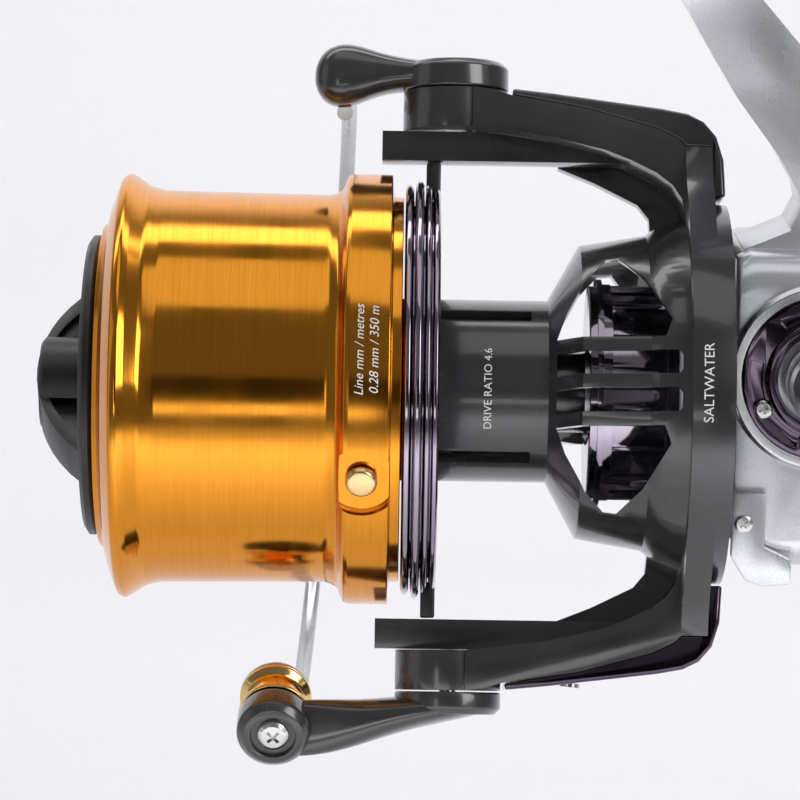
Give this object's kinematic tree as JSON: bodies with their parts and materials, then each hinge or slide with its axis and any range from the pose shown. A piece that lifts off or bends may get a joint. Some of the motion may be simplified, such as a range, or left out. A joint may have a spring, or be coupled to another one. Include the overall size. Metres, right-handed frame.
{
  "type": "spinning reel",
  "caption": "Front-drag spinning reel: stem and foot, gear case with side handle, turning rotor with bail and line roller, and a sliding anodised spool.",
  "frame": {"origin": "centre of the foot's rod-side seat", "axes": "+Z out of the foot's seat towards the rod, +X to the rear of the reel (the spool is towards -X), handle on the -Y side"},
  "size_m": [0.2326, 0.1988, 0.1613],
  "materials": {
    "silver_body": "pearl silver paint, satin gloss",
    "gold_spool": "polished orange-gold anodise",
    "black_gloss": "gloss black",
    "rotor_black": "gloss black paint on die-cast aluminium",
    "purple_chrome": "dark lilac tinted chrome",
    "black_satin": "black satin moulded plastic",
    "steel": "satin stainless steel",
    "screw_nickel": "nickel-plated steel",
    "gear_brass": "machined brass",
    "gear_zinc": "die-cast alloy",
    "gold_roller": "polished gold nitride",
    "hub_silver": "machined bright aluminium",
    "felt": "greased woven felt",
    "grip_rubber": "soft-touch rubber",
    "white_nylon": "acetal"
  },
  "bodies": {
    "frame": {"body_housing": "silver_body", "side_cover": "silver_body", "rear_guard": "black_gloss", "front_block": "silver_body", "front_screw": "screw_nickel", "collar_bezel": "hub_silver", "collar_ring": "purple_chrome", "collar_screw_1": "screw_nickel", "collar_screw_2": "screw_nickel", "collar_screw_3": "screw_nickel", "clutch_cover": "purple_chrome", "one_way_clutch": "steel", "pinion_bearing": "steel", "drive_bearing_near": "steel", "drive_bearing_far": "steel", "slider_guide": "steel"},
    "reverse_lever": {"reverse_lever": "black_satin"},
    "crank": {"drive_gear": "gear_zinc", "drive_spur": "gear_zinc", "handle_hub": "hub_silver", "handle_arm": "hub_silver", "handle_cap": "hub_silver", "knob_axle": "steel"},
    "grip": {"handle_grip": "grip_rubber", "knob_bush_near": "white_nylon", "knob_bush_far": "white_nylon", "grip_cap": "hub_silver"},
    "swing_gear": {"oscillation_gear": "gear_zinc"},
    "rotor": {"rotor": "rotor_black", "arm_cover_lower": "purple_chrome", "arm_cover_upper": "black_gloss", "cover_screw_lower": "screw_nickel", "cover_screw_upper": "screw_nickel", "pinion_gear": "gear_brass", "rotor_washer": "steel", "rotor_nut": "gear_brass", "clutch_sleeve": "steel", "bail_spring": "steel"},
    "guard": {"line_guard": "purple_chrome"},
    "bail": {"bail_arm_upper": "black_gloss", "bail_arm_lower": "black_gloss", "bail_wire": "steel", "bail_cone": "steel", "roller_sleeve": "steel", "roller_screw": "screw_nickel", "pivot_screw_upper": "screw_nickel", "pivot_screw_lower": "screw_nickel"},
    "roller": {"line_roller": "gold_roller"},
    "shaft": {"main_shaft": "steel", "spool_seat": "gear_brass", "click_gear": "white_nylon", "oscillation_slider": "gear_zinc"},
    "spool": {"spool": "gold_spool", "line_clip": "gold_roller", "spool_bushing": "white_nylon", "drag_felt_rear": "felt", "drag_plate": "steel", "drag_felt_front": "felt", "drag_clip": "steel"},
    "drag_knob": {"drag_knob": "black_satin"}
  },
  "joints": [
    {"name": "handle_crank", "type": "hinge", "parent": "frame", "child": "crank", "pos_m": [0.031, 0, -0.084], "axis": [0, 1, 0], "continuous": true},
    {"name": "grip_spin", "type": "hinge", "parent": "crank", "child": "grip", "pos_m": [0.101, 0, -0.084], "axis": [0, 1, 0], "continuous": true},
    {"name": "swing_spin", "type": "hinge", "parent": "frame", "child": "swing_gear", "pos_m": [0.05, 0, -0.098], "axis": [0, 1, 0], "continuous": true},
    {"name": "rotor_spin", "type": "hinge", "parent": "frame", "child": "rotor", "pos_m": [0, 0, -0.092], "axis": [1, 0, 0], "continuous": true},
    {"name": "guard_slide", "type": "slide", "parent": "rotor", "child": "guard", "axis": [1, 0, 0], "range_m": [-0.008, 0.02]},
    {"name": "bail_open", "type": "hinge", "parent": "rotor", "child": "bail", "pos_m": [-0.0371, 0, -0.092], "axis": [0, 0.2672, 0.9636], "range_deg": [0, 115]},
    {"name": "roller_spin", "type": "hinge", "parent": "bail", "child": "roller", "pos_m": [-0.0696, -0.01493, -0.15033], "axis": [0, 0.9724, 0.2334], "continuous": true},
    {"name": "spool_stroke", "type": "slide", "parent": "frame", "child": "shaft", "axis": [1, 0, 0], "range_m": [-0.008, 0.02]},
    {"name": "drag_slip", "type": "hinge", "parent": "shaft", "child": "spool", "pos_m": [-0.07, 0, -0.092], "axis": [1, 0, 0], "continuous": true},
    {"name": "drag_set", "type": "hinge", "parent": "shaft", "child": "drag_knob", "pos_m": [-0.105, 0, -0.092], "axis": [1, 0, 0], "range_deg": [-540, 540]},
    {"name": "reverse_switch", "type": "hinge", "parent": "frame", "child": "reverse_lever", "pos_m": [0.041, 0, -0.12], "axis": [1, 0, 0], "range_deg": [0, 18]}
  ],
  "couplings": [
    {"joint": "rotor_spin", "follows": "handle_crank", "ratio": 4.6},
    {"joint": "swing_spin", "follows": "handle_crank", "ratio": -0.30556},
    {"joint": "guard_slide", "follows": "spool_stroke", "ratio": 1}
  ]
}
